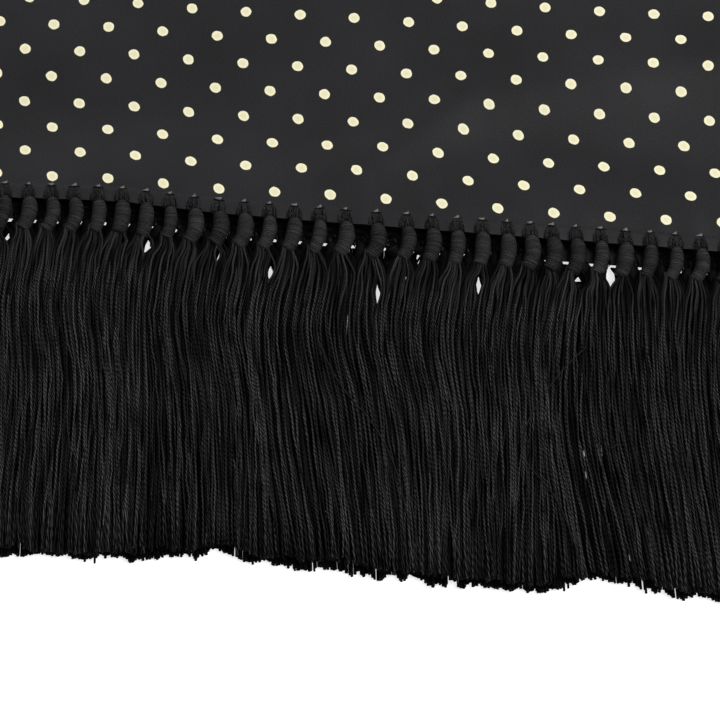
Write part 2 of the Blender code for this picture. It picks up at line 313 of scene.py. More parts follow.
# Depths at which a yarn has a point, up to its end
YARN_DEPTHS = (0.0084, 0.0098, 0.0112, 0.0126, 0.0142, 0.0160, 0.0182, 0.0210, 0.0245, 0.0290,
               0.0340, 0.0390, 0.0445, 0.0500, 0.0555, 0.0610, 0.0665, 0.0720, 0.0775, 0.0830,
               0.0885, 0.0940)
PLAIN_DEPTHS = YARN_DEPTHS[:9] + YARN_DEPTHS[9::3]
# A veil of near-black yarns of the lower row, spread wide from its hem at once, stands in for the
# shade under the upper row
SHADE_VEIL_DEPTHS = (0.0010, 0.0026, 0.0042, 0.0062) + PLAIN_DEPTHS

# Twist and speckle of each kind of yarn, over its own length and girth; the twist paints
# highlights on the plies' backs and shade between them, as strong as its contrast
LOOSE_LOOK = Look(92, 2, 0.80, 350, 6, 1.0, 3.1)
WRAP_LOOK = Look(17, 1, 0.50, 45, 45, 2.6, 2.1)
LOOP_LOOK = Look(6, 2, 0.60, 40, 6, 1.2, 2.3)

# Levels of yarns of a row, from its top down: what lies deep is thick and even, and its
# lightness is painted shade, darker the deeper the level lies. A level's yarns leave the
# head's own width at the depth "spread", over a length.
UPPER_LEVELS = (
    Level(1.3, 6, 1.00, 0.98, 1.00, 0.0086, 0.0085, YARN_DEPTHS, 6),
    Level(0.7, 6, 0.78, 1.00, 1.00, 0.0086, 0.0075, YARN_DEPTHS, 6),
    Level(0.0, 11, 0.38, 1.10, 0.80, 0.0084, 0.0060, YARN_DEPTHS, 4),
    Level(-1.0, 12, 0.16, 1.20, 0.50, 0.0072, 0.0044, YARN_DEPTHS, 4),
)
LOWER_LEVELS = (
    Level(0.7, 12, 0.12, 1.30, 0.25, 0.0086, 0.0044, PLAIN_DEPTHS, 4),
    Level(-0.7, 12, 0.06, 1.40, 0.15, -0.0030, 0.0040, SHADE_VEIL_DEPTHS, 4),
)

# The lower row's ends fall short of the length in TRIM, and its yarns drift less
LOWER_SHORTER = 0.0035
LOWER_DRIFT = 0.45

# The ends are cut in soft tufts, a little short of TRIM, and a few yarns are left long
TRIM_SHORTER = 0.0013
TUFT_DEPTH = 0.0021
CUT_SPREAD = 0.00028
LONG_SHARE = 0.015

# Height between two levels of yarns, and how the yarns lie together in clumps
LEVEL_STEP = 0.00060
CLUMP_REACH = 0.00018
CLUMP_WIDTH = 0.0031

# Share of the yarns that sweep far aside
SWEEP_SHARE = 0.05

# Stray yarns that lie across the others: x and depth of the points they pass
STRAYS = (
    ((0.0655, 0.0335), (0.0590, 0.0405), (0.0520, 0.0505), (0.0475, 0.0600), (0.0462, 0.0740)),
    ((0.0735, 0.0480), (0.0745, 0.0560), (0.0738, 0.0620), (0.0712, 0.0632), (0.0700, 0.0600)),
    ((-0.0120, 0.0380), (-0.0060, 0.0500), (0.0040, 0.0620), (0.0100, 0.0740), (0.0140, 0.0900)),
    ((0.0480, 0.0700), (0.0560, 0.0800), (0.0610, 0.0930), (0.0630, 0.1030)),
)


def ease(share):
    """Go smoothly from 0 to 1 as share does, and stay level outside."""
    share = min(max(share, 0.0), 1.0)
    return share * share * (3 - 2 * share)


def between(rows, place):
    """Blend the columns of a table's two rows on either side of a place."""
    before = [row for row in rows if row[0] <= place] or rows[:1]
    after = [row for row in rows if row[0] > place] or rows[-1:]
    low, high = before[-1], after[0]
    share = ease((place - low[0]) / (high[0] - low[0])) if high[0] > low[0] else 0.0
    return [a + (b - a) * share for a, b in zip(low[1:], high[1:])]


def smooth_through(places, values, at):
    """Read a smooth curve through values at increasing places."""
    at = min(max(at, places[0]), places[-1])
    last = len(places) - 1
    k = max(i for i in range(last) if places[i] <= at or i == 0)

    def slope(i):
        low, high = max(i - 1, 0), min(i + 1, last)
        return (values[high] - values[low]) / (places[high] - places[low])

    span = places[k + 1] - places[k]
    t = (at - places[k]) / span
    return (values[k] * (1 + 2 * t) * (1 - t) ** 2
            + values[k + 1] * (3 - 2 * t) * t ** 2
            + slope(k) * span * t * (1 - t) ** 2
            - slope(k + 1) * span * t ** 2 * (1 - t))


def hem_line(x):
    """How far the hem at x lies towards +Y from the hem's middle."""
    bow = HEM_BOW * math.exp(-((x - HEM_BOW_X) / HEM_BOW_REACH) ** 2)
    return bow - HEM_SLOPE * x


def ridge_height(x, s):
    """How far the upper layer stands up over its ridges."""
    height = 0.0
    for ridge in RIDGES:
        if not ridge.from_s - 0.15 < s < ridge.to_s + 0.15:
            continue
        along_x, along_s = ridge.to_x - ridge.from_x, ridge.to_s - ridge.from_s
        share = ((x - ridge.from_x) * along_x + (s - ridge.from_s) * along_s)
        share = min(max(share / (along_x ** 2 + along_s ** 2), 0.0), 1.0)
        away = math.hypot(x - ridge.from_x - share * along_x, s - ridge.from_s - share * along_s)
        height = max(height, ridge.height * math.exp(-(away / ridge.breadth) ** 2))
    return height * ease(s / RIDGE_HEM_EASE) * ease((FOLDED_LENGTH - s) / RIDGE_FOLD_EASE)


def side_waver(x, s, phase):
    """Move a side edge in and out a little away from the hem."""
    swing = math.sin(2 * math.pi * s / SIDE_WAVER_LENGTH + phase)
    return SIDE_WAVER * swing * ease(s / 0.060) * (2 * x / WIDTH) ** 3


def place_along(x, s):
    """Y of a point of the cloth: square at the fold, askew like the hem at the hem."""
    part = s / FOLDED_LENGTH
    waver = FOLD_WAVER * math.sin(2 * math.pi * x / FOLD_WAVER_LENGTH)
    return HEM_Y + s + hem_line(x) * (1 - part) ** 2 + waver * part ** 4


def stations(stretches):
    """Distances at which a layer has a row of points."""
    places = [stretches[0].start]
    for stretch in stretches:
        step = (stretch.end - stretch.start) / stretch.steps
        places += [stretch.start + step * (i + 1) for i in range(stretch.steps)]
    return places


def hem_step(s):
    """How much the doubled cloth of a turned hem lifts its top."""
    return TURN_RADIUS * (1 - ease((s - TURNED_UNDER) / CREASE_BREADTH))


def small_creases(x, s):
    """Gathers that run up from the tassels, and the silk's faint unevenness."""
    swing = noise.noise(Vector((x / PITCH * 1.35, s * 12, 3.1)))
    gather = GATHER_HEIGHT * 2 * swing * math.exp(-s / GATHER_REACH)
    soft = noise.noise(Vector((x * UNEVEN_SCALE, s * UNEVEN_SCALE, 7.7)))
    return gather + UNEVEN_HEIGHT * soft * ease(s / 0.012)


def upper_point(x, s):
    """A point of the upper layer's middle, as far as the roll."""
    level = WALL + LAYER_GAP
    hem = (UPPER_HEM_Z - WALL / 2 - level) * ease(1 - (s - HEM_DEPTH) / (UPPER_RISE - HEM_DEPTH))
    roll_top = ROLL_FLOOR_GAP + WALL + 2 * ROLL_RADIUS
    roll = (roll_top - level) * ease(1 - (ROLL_START - s) / ROLL_RISE)
    z = level + WALL / 2 + hem + roll + ridge_height(x, s)
    z += small_creases(x, s) * ease((FOLDED_LENGTH - s) / RIDGE_FOLD_EASE)
    return Vector((x + side_waver(x, s, 0.0) - SIDE_SHIFT, place_along(x, s), z + hem_step(s)))


def lower_point(x, s, floor_lift):
    """A point of the lower layer's middle, s from its own hem."""
    rise = (LOWER_HEM_Z - floor_lift) * ease(1 - (s - HEM_DEPTH) / (LOWER_RISE - HEM_DEPTH))
    x_place = x + side_waver(x, s, 1.7) + SIDE_SHIFT
    return Vector((x_place, place_along(x, s - LOWER_SHIFT), floor_lift + rise + hem_step(s)))


def roll_point(x, turn, floor_lift):
    """A point of the roll at the fold, at a turn from 0 at its top to pi at the surface."""
    top = upper_point(x, ROLL_START)
    bottom = lower_point(x, ROLL_START, floor_lift)
    radius = (top.z - bottom.z) / 2
    share = turn / math.pi
    return Vector((top.x + (bottom.x - top.x) * share,
                   top.y + (bottom.y - top.y) * share + radius * math.sin(turn),
                   bottom.z + radius + radius * math.cos(turn)))


def turned_points(edge, inner, cut):
    """Points of a hem turned under, from its raw edge to the hem's edge, with their cut."""
    way = (inner - edge).normalized()
    down = Vector((0.0, 0.0, -TURN_RADIUS))
    reach = TURNED_UNDER - TURN_RADIUS
    points = [(edge + way * (TURN_RADIUS + reach * (1 - i / 3)) + down * 2, cut - reach * (1 - i / 3))
              for i in range(3)]
    for step in range(TURN_STEPS):
        turn = math.pi * step / TURN_STEPS
        swing = way * (TURN_RADIUS - TURN_RADIUS * math.sin(turn))
        points.append((edge + swing + down * (1 + math.cos(turn)), cut))
    return points


def cloth_column(x, floor_lift):
    """Points of the whole cut at one place across it, each with its distance along the cut."""
    column = turned_points(upper_point(x, 0.0), upper_point(x, 0.01), 0.0)
    column += [(upper_point(x, s), s) for s in stations(UPPER_ROWS)]
    for step in range(1, ROLL_STEPS):
        turn = math.pi * step / ROLL_STEPS
        column.append((roll_point(x, turn, floor_lift), ROLL_START + ROLL_MIDDLE * turn))
    column += [(lower_point(x, s, floor_lift), WHOLE_CUT - s) for s in stations(LOWER_ROWS)]
    edge, inner = lower_point(x, 0.0, floor_lift), lower_point(x, 0.01, floor_lift)
    under = turned_points(edge, inner, -WHOLE_CUT)
    return column + [(point, -cut) for point, cut in reversed(under)]


def head_places(row):
    """X of each head, from an even spacing and its shifts."""
    evens = [ROW_START + PITCH * (row.first + k) for k in range(row.count)]
    return [even + between(row.shifts, even)[0] for even in evens]


def borders_of(places):
    """X of the borders between the spaces of neighbouring heads, with both ends."""
    middles = [(a + b) / 2 for a, b in zip(places, places[1:])]
    return [places[0] - PITCH / 2] + middles + [places[-1] + PITCH / 2]


def drift(x, depth):
    """How far a yarn that starts at x has moved sideways at a depth."""
    return smooth_through(DRIFT_DEPTHS, between(DRIFT, x), depth)


def head_place(k, x, depth):
    """X of the middle of head number k, which leans and bends in its own way."""
    share = min(max(depth, 0.0) / WRAPS_END, 1.0)
    lean = LEAN + LEAN_SWING * math.sin(k * 12.9898)
    bend = BEND + BEND_SWING * math.sin(k * 7.233)
    return x + bend * math.sin(math.pi * share) - lean * share ** 1.6


def row_y(row, x, depth):
    """Y of a point of a row of tassels at a depth."""
    return HEM_Y + hem_line(x - row.shift_x) - row.shift_y - depth


def parted(places, depths):
    """Move a yarn's places aside where the yarns part, always to the side it lies on."""
    for gap in PARTINGS:
        if not depths[0] < gap.depth < depths[-1]:
            continue
        side = math.copysign(1.0, np.interp(gap.depth, depths, places) - gap.x)
        for i, depth in enumerate(depths):
            open_here = gap.half_width * math.exp(-((depth - gap.depth) / gap.half_length) ** 4)
            away = (places[i] - gap.x) * side
            if open_here > 0.00002:
                away = max(away + open_here * math.exp(-abs(away) / PARTING_REACH), open_here)
                places[i] = gap.x + away * side
    return places


class Value:
    """A socket of a material's nodes, which Python's operators build on."""

    def __init__(self, finish, socket):
        self.finish = finish
        self.socket = socket

    def math(self, operation, *others):
        """A Math node on this value and others."""
        links = {i: value for i, value in enumerate((self,) + others)}
        return self.finish.node("ShaderNodeMath", {"operation": operation}, links)

    def __add__(self, other):
        return self.math('ADD', other)

    __radd__ = __add__

    def __sub__(self, other):
        return self.math('SUBTRACT', other)

    def __rsub__(self, other):
        return self.finish.node("ShaderNodeMath", {"operation": 'SUBTRACT'}, {0: other, 1: self})

    def __mul__(self, other):
        return self.math('MULTIPLY', other)

    __rmul__ = __mul__

    def __truediv__(self, other):
        return self.math('DIVIDE', other)

    def __pow__(self, other):
        return self.math('POWER', other)

    def held(self):
        """This value, held between 0 and 1."""
        settings = {"operation": 'ADD', "use_clamp": True}
        return self.finish.node("ShaderNodeMath", settings, {0: self, 1: 0.0})


class Finish:
    """A material in the making."""

    def __init__(self, name):
        self.material = bpy.data.materials.new(name)
        self.material.use_nodes = True
        self.tree = self.material.node_tree
        self.shader = self.tree.nodes["Principled BSDF"]

    def put(self, value, socket):
        """Link a value to a socket, or set it there."""
        if isinstance(value, Value):
            self.tree.links.new(value.socket, socket)
        else:
            socket.default_value = value

    def node(self, kind, settings, sockets, out=0):
        """Add a node, with its settings first and then its sockets; gives one output."""
        node = self.tree.nodes.new(kind)
        for name, value in settings.items():
            setattr(node, name, value)
        for key, value in sockets.items():
            self.put(value, node.inputs[key])
        return Value(self, node.outputs[out])

    def mixed(self, share, first, second):
        """A colour between two colours."""
        sockets = {0: share, 6: first, 7: second}
        return self.node("ShaderNodeMix", {"data_type": 'RGBA'}, sockets, out=2)

    def cut_map(self, name):
        """The two coordinates of a UV map."""
        uv = self.node("ShaderNodeUVMap", {"uv_map": name}, {})
        return uv, *(self.node("ShaderNodeSeparateXYZ", {}, {0: uv}, out=i) for i in range(2))

    def pair(self, first, second):
        """A vector of two values."""
        return self.node("ShaderNodeCombineXYZ", {}, {0: first, 1: second})

    def clouds(self, vector, scale, detail=2.0):
        """Soft noise from 0 to 1."""
        sockets = {"Vector": vector, "Scale": scale, "Detail": detail}
        return self.node("ShaderNodeTexNoise", {}, sockets)

    def bump(self, height, distance, strength=1.0):
        """A normal from a height, whose full swing is a distance in metres."""
        sockets = {"Height": height, "Distance": distance, "Strength": strength}
        return self.node("ShaderNodeBump", {}, sockets)

    def done(self, roughness, sheen, specular, **values):
        """Set the shader's sockets and give the material."""
        self.shader.inputs["Roughness"].default_value = roughness
        self.shader.inputs["Sheen Weight"].default_value = sheen
        self.shader.inputs["Specular IOR Level"].default_value = specular
        for name, value in values.items():
            self.put(value, self.shader.inputs[name.replace("_", " ")])
        return self.material


def opaque(colour, share=1.0):
    """A colour with full alpha, made lighter or darker by a share."""
    return (*(part * share for part in colour), 1.0)


def waved(value, reach, length):
    """A cosine wave of a value, with its reach and its length in metres."""
    return (value * (2 * math.pi / length)).math('COSINE') * reach


def away_from_dots(across, along, from_ends, sizes):
    """Distance to the nearest dot; they stand in rows, with one more amid each four."""
    pitch_x, pitch_s = sizes.dot_pitch_across, sizes.dot_pitch_along
    column = (across - DOT_START_X - waved(along, DOT_SWAY, DOT_SWAY_LENGTH)) / pitch_x
    square_on = (1.0 - from_ends / FOLDED_LENGTH) ** 2.0
    tilt = (1.0 - square_on) * HEM_SLOPE - DOT_TILT
    row = along - DOT_START_S + across * tilt - waved(across, DOT_BOW, DOT_BOW_LENGTH)
    row = row / pitch_s
    nearest = None
    for offset in (0.0, 0.5):
        away_x = ((column + offset).math('FRACT') - 0.5) * pitch_x
        away_s = ((row + offset).math('FRACT') - 0.5) * pitch_s
        square = away_x * away_x + away_s * away_s + away_x * away_s * (2 * DOT_SKEW)
        away = square.math('SQRT')
        nearest = away if nearest is None else nearest.math('MINIMUM', away)
    return nearest


def silk_finish(sizes, colours):
    """Black twill silk with woven cream dots."""
    finish = Finish("dotted_silk")
    uv, across, along = finish.cut_map("cut")
    wander = finish.clouds(uv, 90.0)
    rough_edge = finish.clouds(uv, 700.0, 1.0)
    from_ends = (WHOLE_CUT - along).math('MINIMUM', along)
    away = away_from_dots(across + (wander - 0.5) * 0.0006, along, from_ends, sizes)
    inside = sizes.dot_diameter / 2 - away + (rough_edge - 0.5) * 0.00036
    mask = (inside / 0.00016 + 0.5).held() * from_ends.math('GREATER_THAN', PLAIN_HEM)
    middle = (inside / 0.0011).held()
    slub = finish.clouds(uv, 2600.0, 3.0)
    wide = finish.clouds(uv, 26.0, 2.0)
    shade = (slub * 3.2 + wide * 1.2 - 1.7).held()
    silk = finish.mixed(shade, opaque(colours.silk, 0.45), opaque(colours.silk, 1.50))
    dot = finish.mixed(middle * 0.7 + slub * 0.6 - 0.1, opaque(colours.dot, 1.12),
                       opaque(colours.dot, 0.90))
    colour = finish.mixed(mask, silk, dot)
    twill = ((across + along) * (2 * math.pi / sizes.twill_pitch)).math('SINE')
    height = twill * 0.25 + slub * 0.8 + mask * 0.6
    return finish.done(0.50, 0.03, 0.14, Base_Color=colour,
                       Normal=finish.bump(height, 0.00006, 0.7))


def plain_silk_finish(colours):
    """Black silk of the rolled side hems."""
    finish = Finish("plain_silk")
    uv, along, around = finish.cut_map("UVMap")
    shade = finish.clouds(uv, 300.0, 3.0)
    colour = finish.mixed(shade, opaque(colours.silk, 0.7), opaque(colours.silk, 1.3))
    twist = (along * (2 * math.pi * 260) + around * (2 * math.pi * 2)).math('SINE')
    return finish.done(0.5, 0.03, 0.14, Base_Color=colour,
                       Normal=finish.bump(twist * 0.3 + shade, 0.00008, 0.6))


def yarn_finish(name, colours, look):
    """Silk yarn of twisted plies, with painted shade between the plies and painted highlights on
    their backs.
    """
    finish = Finish(name)
    _, along, around = finish.cut_map("UVMap")
    shade = finish.node("ShaderNodeAttribute", {"attribute_name": "shade"}, {}, out=2)
    twist = along * (2 * math.pi * look.turns) + around * (2 * math.pi * look.plies) + shade * 9
    # Painted highlight on each ply's back and painted shade in the groove between plies; also the ply
    # relief of the bump
    back = (twist.math('SINE') * 0.5 + 0.5) ** 2.0
    speckle = finish.clouds(finish.pair(along * look.specks_along, around * look.specks_around),
                            1.0, 2.0)
    even = 0.9 - look.contrast
    light = (back * look.contrast + (speckle - 0.5) * look.speckle + even) * shade
    colour = finish.mixed(light.held(), opaque(colours.yarn, 0.04),
                          opaque(colours.yarn, look.lightest))
    return finish.done(0.50, 0.0, 0.03, Base_Color=colour,
                       Normal=finish.bump(back + speckle * 0.5, 0.00012, 0.8))


def dull_finish(name, colour, roughness):
    """A plain dull finish with a little mottling, for the painted shade in the thread holes and the
    painted highlight of their lips.
    """
    finish = Finish(name)
    place = finish.node("ShaderNodeTexCoord", {}, {}, out=3)
    mottle = finish.clouds(place, 1500.0)
    base = finish.mixed(mottle, opaque(colour, 0.7), opaque(colour, 1.3))
    return finish.done(roughness, 0.0, 0.2, Base_Color=base)


def floor_finish(colours):
    """A plain pale surface, lit like a white table in a studio."""
    finish = Finish("pale_floor")
    place = finish.node("ShaderNodeTexCoord", {}, {}, out=3)
    grain = finish.clouds(place, 40.0)
    base = finish.mixed(grain, opaque(colours.floor, 0.99), opaque(colours.floor))
    finish.shader.inputs["Emission Strength"].default_value = colours.floor_glow
    return finish.done(0.85, 0.0, 0.1, Base_Color=base, Emission_Color=base)


def settle(piece, node_names=()):
    """Let a piece ride with the shawl and hide the solids that it stands for."""
    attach(piece, BODY)
    if node_names:
        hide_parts(*node_names)
    return piece


def add_piece(name, mesh, material, sharp_angle=50):
    """Put a mesh in the scene, smooth but for its sharp edges."""
    mesh.materials.clear()
    mesh.materials.append(material)
    mesh.shade_smooth()
    mesh.set_sharp_from_angle(angle=math.radians(sharp_angle))
    piece = bpy.data.objects.new(name, mesh)
    bpy.context.scene.collection.objects.link(piece)
    return piece


def mesh_of(name, bm):
    """A mesh from a bmesh, which is freed."""
    mesh = bpy.data.meshes.new(name)
    bm.to_mesh(mesh)
    bm.free()
    return mesh


def tip_beyond(before, last):
    """A tube's closing point, a little past its last one."""
    end = Vector(last[:3])
    tip = end + (end - Vector(before[:3])).normalized() * last.radius * 0.4
    return Spot(*tip, 0.0, last.shade)


def tubes(name, paths, sides, material):
    """One mesh of closed round tubes, each along its own spots."""
    curve = bpy.data.curves.new(name, 'CURVE')
    curve.dimensions = '3D'
    curve.bevel_depth = 1.0
    curve.bevel_resolution = sides // 2 - 2
    shades = []
    for path in paths:
        points = [tip_beyond(path[1], path[0])] + list(path) + [tip_beyond(path[-2], path[-1])]
        spline = curve.splines.new('POLY')
        spline.points.add(len(points) - 1)
        spline.points.foreach_set("co", [c for p in points for c in (p.x, p.y, p.z, 1.0)])
        spline.points.foreach_set("radius", [p.radius for p in points])
        shades += [p.shade for p in points]
    holder = bpy.data.objects.new(name, curve)
    bpy.context.scene.collection.objects.link(holder)
    graph = bpy.context.evaluated_depsgraph_get()
    mesh = bpy.data.meshes.new_from_object(holder.evaluated_get(graph))
    bpy.data.objects.remove(holder, do_unlink=True)
    bpy.data.curves.remove(curve)
    shade = mesh.attributes.new("shade", 'FLOAT', 'POINT')
    shade.data.foreach_set("value", np.repeat(shades, sides).astype(np.float32))
    bm = bmesh.new()
    bm.from_mesh(mesh)
    bmesh.ops.remove_doubles(bm, verts=bm.verts, dist=1e-7)
    bmesh.ops.recalc_face_normals(bm, faces=bm.faces)
    bm.to_mesh(mesh)
    bm.free()
    return add_piece(name, mesh, material, sharp_angle=75)


def lay_cloth(sizes, material):
    """The whole cut of silk as one thin wall, with its hems turned under."""
    columns = [cloth_column(WIDTH * (i / COLUMNS - 0.5), sizes.cloth_thickness / 2)
               for i in range(COLUMNS + 1)]
    rows = len(columns[0])
    bm = bmesh.new()
    bmesh.ops.create_grid(bm, x_segments=COLUMNS, y_segments=rows - 1, size=0.5)
    cut_map = bm.loops.layers.uv.new("cut")
    cut_of = {}
    for vert in bm.verts:
        column = round((vert.co.x + 0.5) * COLUMNS)
        row = round((vert.co.y + 0.5) * (rows - 1))
        vert.co, along = columns[column][row]
        cut_of[vert] = (WIDTH * (column / COLUMNS - 0.5), along)
    for face in bm.faces:
        for loop in face.loops:
            loop[cut_map].uv = cut_of[loop.vert]
    piece = add_piece("silk_cloth", mesh_of("silk_cloth", bm), material)
    wall = piece.modifiers.new("Thickness", 'SOLIDIFY')
    wall.thickness = sizes.cloth_thickness
    wall.offset = 0.0
    wall.use_even_offset = False
    graph = bpy.context.evaluated_depsgraph_get()
    thick = bpy.data.meshes.new_from_object(piece.evaluated_get(graph))
    piece.modifiers.clear()
    piece.data = thick
    thick.shade_smooth()
    thick.set_sharp_from_angle(angle=math.radians(50))
    return piece


def side_hems(sizes, material):
    """The rolled hems along both sides of the cut."""
    paths = []
    for side in (-1, 1):
        column = cloth_column(side * WIDTH / 2, sizes.cloth_thickness / 2)
        path = []
        for place, (point, _) in enumerate(column[7:-7]):
            radius = sizes.side_roll / 2 * (1 + 0.12 * math.sin(place * 1.9))
            z = max(point.z, radius + 0.00002)
            path.append(Spot(point.x, point.y, z, radius, 0.5))
        paths.append(path)
    return tubes("side_hems", paths, 8, material)


def hole_slits(name, row, material, lift):
    """A near-black slit in each thread hole of a row, as painted shade inside the hole."""
    bm = bmesh.new()
    for k, x in enumerate(head_places(row)):
        place = Vector((x, row_y(row, x, -HEM_DEPTH - SLIT_ABOVE), row.hem_z + lift))
        matrix = (Matrix.Translation(place) @ Matrix.Rotation(0.12 * math.sin(k * 2.4), 4, 'Z')
                  @ Matrix.Diagonal((SLIT_WIDTH * (1 + 0.2 * math.sin(k * 5.1)),
                                     SLIT_BREADTH, SLIT_HEIGHT, 1.0)))
        bmesh.ops.create_icosphere(bm, subdivisions=2, radius=0.5, matrix=matrix)
    return add_piece(name, mesh_of(name, bm), material)


def pulled_lips(name, row, material, lift):
    """The little fold of silk that each tassel pulls up above its hole, coloured much lighter than
    the cloth as a painted highlight.
    """
    bm = bmesh.new()
    for k, x in enumerate(head_places(row)):
        depth = -HEM_DEPTH - SLIT_ABOVE - LIP_REACH * 0.35
        place = Vector((x, row_y(row, x, depth), row.hem_z + lift))
        matrix = (Matrix.Translation(place) @ Matrix.Rotation(0.3 * math.sin(k * 3.7), 4, 'Z')
                  @ Matrix.Diagonal((LIP_WIDTH * (1 + 0.25 * math.sin(k * 4.3)),
                                     LIP_REACH, LIP_HEIGHT, 1.0))
                  @ Matrix.Rotation(math.radians(90), 4, 'Z'))
        bmesh.ops.create_cone(bm, cap_ends=True, segments=3, radius1=0.6, radius2=0.0,
                              depth=1.0, matrix=matrix)
    return add_piece(name, mesh_of(name, bm), material, sharp_angle=80)


def head_radius(depth, fullness):
    """A wrapped head's radius at a depth."""
    places = (0.0, 0.0012, 0.004, 0.008, WRAPS_END)
    values = (0.0013, 0.0020, 0.0023, 0.0021, 0.0020)
    return smooth_through(places, values, depth) * fullness


def beside_partings(x, depth, radius):
    """Move a head's middle aside where the yarns part."""
    for gap in PARTINGS:
        share = math.exp(-((depth + LOWER_SHIFT - gap.depth) / (gap.half_length * 2.2)) ** 2)
        reach = (gap.half_width * 0.6 + radius) * share
        away = x - gap.x
        if abs(away) < reach:
            x = gap.x + math.copysign(reach, away)
    return x


def wrapped_heads(name, row, sizes, sides, rings, material, rng, lightness):
    """The wrapped heads of one row, with a number of rings to each wrap."""
    paths = []
    count = round(WRAPS_END / sizes.wrap_pitch) * rings
    for k, x in enumerate(head_places(row)):
        fullness = rng.uniform(0.88, 1.10) * (LOWER_FULLNESS if row is LOWER_ROW else 1.0)
        shade = rng.uniform(0.6, 1.1) * lightness
        path = []
        for i in range(count + 1):
            depth = WRAPS_END * i / count
            share = depth / WRAPS_END
            radius = head_radius(depth, fullness)
            ridge = abs(math.sin(math.pi * i / rings)) ** 0.7
            place = head_place(k, x, depth)
            if row is LOWER_ROW:
                place = beside_partings(place, depth, radius)
            up = HEAD_CROWN * math.sin(math.pi * share)
            girth = radius + WRAP_RIDGE * (ridge - 0.7) + rng.uniform(-1, 1) * WRAP_SHAKE
            path.append(Spot(place, row_y(row, place, depth), row.hem_z + up, girth,
                             shade * rng.uniform(0.7, 1.3)))
        paths.append(path)
    return tubes(name, paths, sides, material)


def hem_loops(name, row, sizes, strands, material, rng, lightness):
    """The yarns that go through each hole, over the hem's edge and into the head."""
    paths = []
    top = row.hem_z + TURN_RADIUS + sizes.cloth_thickness / 2
    radius = sizes.yarn_thickness * LOOP_STRAND
    for x in head_places(row):
        for k in range(strands):
            share = (k + 0.5) / strands * 2 - 1
            cross = share if k % 3 else -share
            cross = min(max(cross + rng.uniform(-0.35, 0.35), -1.0), 1.0)
            lift = radius * rng.uniform(0.6, 2.6)
            arch = LOOP_ARCH * math.sqrt(max(1 - cross * cross * 0.8, 0.0))
            spots = (
                (share * 0.0011, -HEM_DEPTH - 0.0003, -0.0006),
                (share * 0.0014, -HEM_DEPTH + 0.0003, lift * 0.8 + 0.0001),
                ((share + cross) * 0.0010, -HEM_DEPTH * 0.55, lift + arch * 0.7),
                (cross * LOOP_REACH, -0.0007, lift + arch * 0.5),
                (cross * LOOP_REACH, 0.0000, lift * 0.5 + 0.0001),
                (cross * 0.0017, 0.0005, -0.0011),
            )
            shade = rng.uniform(0.3, 1.1) * lightness
            path = []
            for across, depth, up in spots:
                place = x + across
                path.append(Spot(place, row_y(row, place, depth), top + up, radius, shade))
            paths.append(path)
    return tubes(name, paths, 6, material)


def yarn_end(row, target, rng):
    """The depth at which a yarn is cut."""
    tuft = noise.noise(Vector((target * 420, row.shift_y * 900, 1.7)))
    end = FRINGE + between(TRIM, target)[0] + TUFT_DEPTH * tuft + rng.gauss(0.0, CUT_SPREAD)
    if rng.random() < LONG_SHARE:
        end += rng.uniform(0.0005, 0.0018)
    return end - TRIM_SHORTER - (LOWER_SHORTER if row is LOWER_ROW else 0.0)


def yarn_path(row, head, borders, across, level, sizes, lightness, rng):
    """One yarn of a tassel, from inside its head to its cut end."""
    k, x = head
    target = borders[k] + across * (borders[k + 1] - borders[k])
    root = head_place(k, x, WRAPS_END) + (across * 2 - 1) * ROOT_REACH
    end = yarn_end(row, target, rng)
    wild = level.wildness
    waves = []
    for heights, lengths in (((0.00006, 0.00028), (0.009, 0.018)),
                             ((0.00010, 0.00050), (0.028, 0.070))):
        waves.append((rng.uniform(*heights) * wild, rng.uniform(*lengths), rng.uniform(0, 6.28)))
    sweep = rng.gauss(0.0, 0.0011) * wild
    if rng.random() < SWEEP_SHARE * wild:
        sweep = rng.choice((-1, 1)) * rng.uniform(0.002, 0.0045)
    up_level = level.height * LEVEL_STEP + rng.uniform(-0.00025, 0.00025) * wild
    radius = sizes.yarn_thickness / 2 * rng.uniform(0.85, 1.08) * level.fullness
    seed = rng.uniform(0, 100)
    drifting = LOWER_DRIFT if row is LOWER_ROW else 1.0
    depths = [d for d in level.depths if d < end - 0.003] + [end]
    places = []
    for depth in depths:
        spread = ease((depth - level.spread) / level.length)
        reach = max((depth - 0.030) / 0.075, 0.0)
        place = target + drift(target, depth) * drifting + sweep * reach ** 1.6
        for height, length, phase in waves:
            place += height * math.sin(2 * math.pi * depth / length + phase)
        clump = math.sin(2 * math.pi * target / CLUMP_WIDTH + depth * 60 + level.height * 2.1)
        place += CLUMP_REACH * clump * min(reach * 1.5, 1.0)
        places.append(root + (place - root) * spread)
    places = parted(places, [depth + row.shift_y for depth in depths])
    path = []
    for place, depth in zip(places, depths):
        z = smooth_through(RUN_DEPTHS, row.run, depth) + up_level
        z += 0.00025 * wild * math.sin(2 * math.pi * depth / 0.017 + seed)
        # Painted light: the level's painted shade, in patches along the yarn that stand for painted
        # highlights
        shade = lightness * (0.66 + 1.1 * noise.noise(Vector((depth * 90, seed, 0.5))))
        path.append(Spot(place, row_y(row, place, depth), max(z, radius * 1.1), radius,
                         max(shade, 0.03)))
    return path


def tassel_yarns(name, row, level, sizes, material, rng):
    """The loose yarns of a row's tassels at one level."""
    places = head_places(row)
    borders = borders_of(places)
    jitter = 0.15 + 0.30 * level.wildness
    count = round(level.count * sizes.yarn_share)
    paths = []
    for head in enumerate(places):
        for i in range(count):
            across = (i + 0.5 + rng.uniform(-jitter, jitter)) / count
            # Painted shade of the level, times a random tone for each yarn
            light = level.lightness * min(max(rng.gauss(1.0, 0.30), 0.35), 1.8)
            paths.append(yarn_path(row, head, borders, across, level, sizes, light, rng))
    return tubes(name, paths, level.sides, material)


